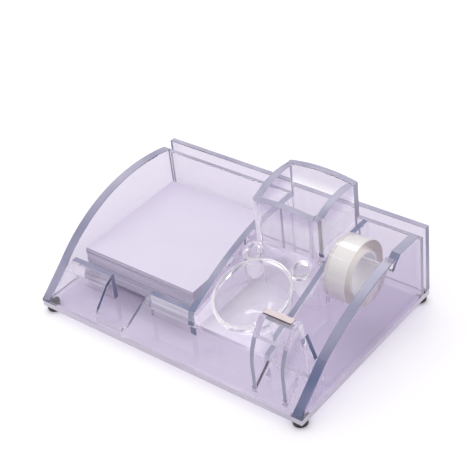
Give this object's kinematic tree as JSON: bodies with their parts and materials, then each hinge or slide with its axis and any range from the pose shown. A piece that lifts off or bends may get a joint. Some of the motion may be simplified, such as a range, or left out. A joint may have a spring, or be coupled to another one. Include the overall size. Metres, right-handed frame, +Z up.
{
  "type": "desk organizer with tape dispenser",
  "caption": "Clear plastic desk organizer with a memo tray, a clip cup, tool sockets, a tool bin and a tape roll on a lift-out axle behind a toothed cutter.",
  "frame": {"origin": "middle of the footprint, on the plane that the feet stand on", "axes": "+X to the user's right along the width, +Y towards the back, +Z up"},
  "size_m": [0.2, 0.134, 0.0777],
  "materials": {
    "clear_plastic": "polished clear plastic with a pale lavender cast and darker cut edges",
    "foot_rubber": "matt black rubber",
    "blade_steel": "bright cold-rolled strip",
    "memo_paper": "smooth uncoated sheets, cut edges",
    "axle_plastic": "polished clear rod",
    "core_board": "bare white-faced board ring",
    "tape_film": "translucent film, wound in layers"
  },
  "bodies": {
    "organizer": {"base_plate": "clear_plastic", "left_side_panel": "clear_plastic", "right_side_panel": "clear_plastic", "rear_panel": "clear_plastic", "inner_back_panel": "clear_plastic", "memo_divider": "clear_plastic", "memo_front_wall_left": "clear_plastic", "memo_front_wall_right": "clear_plastic", "front_apron": "clear_plastic", "deck": "clear_plastic", "clip_cup": "clear_plastic", "tool_socket_left": "clear_plastic", "tool_socket_right": "clear_plastic", "bin_front_wall": "clear_plastic", "bin_left_wall": "clear_plastic", "bin_right_wall": "clear_plastic", "side_ledge": "clear_plastic", "tape_cheek": "clear_plastic", "cutter_tower": "clear_plastic", "tower_web": "clear_plastic", "foot_front_left": "foot_rubber", "foot_front_right": "foot_rubber", "foot_rear_left": "foot_rubber", "foot_rear_right": "foot_rubber", "cutter_blade": "blade_steel"},
    "axle": {"tape_axle": "axle_plastic"},
    "roll": {"tape_core": "core_board", "wound_tape": "tape_film"},
    "memo": {"memo_sheets": "memo_paper"}
  },
  "joints": [
    {"name": "axle_lift", "type": "slide", "parent": "organizer", "child": "axle", "axis": [0, 0.7314, 0.682], "range_m": [0, 0.011]},
    {"name": "tape_spin", "type": "hinge", "parent": "axle", "child": "roll", "pos_m": [0.072, 0.0279, 0.0373], "axis": [1, 0, 0], "continuous": true},
    {"name": "memo_lift", "type": "slide", "parent": "organizer", "child": "memo", "axis": [0, 0, 1], "range_m": [0, 0.06]}
  ]
}
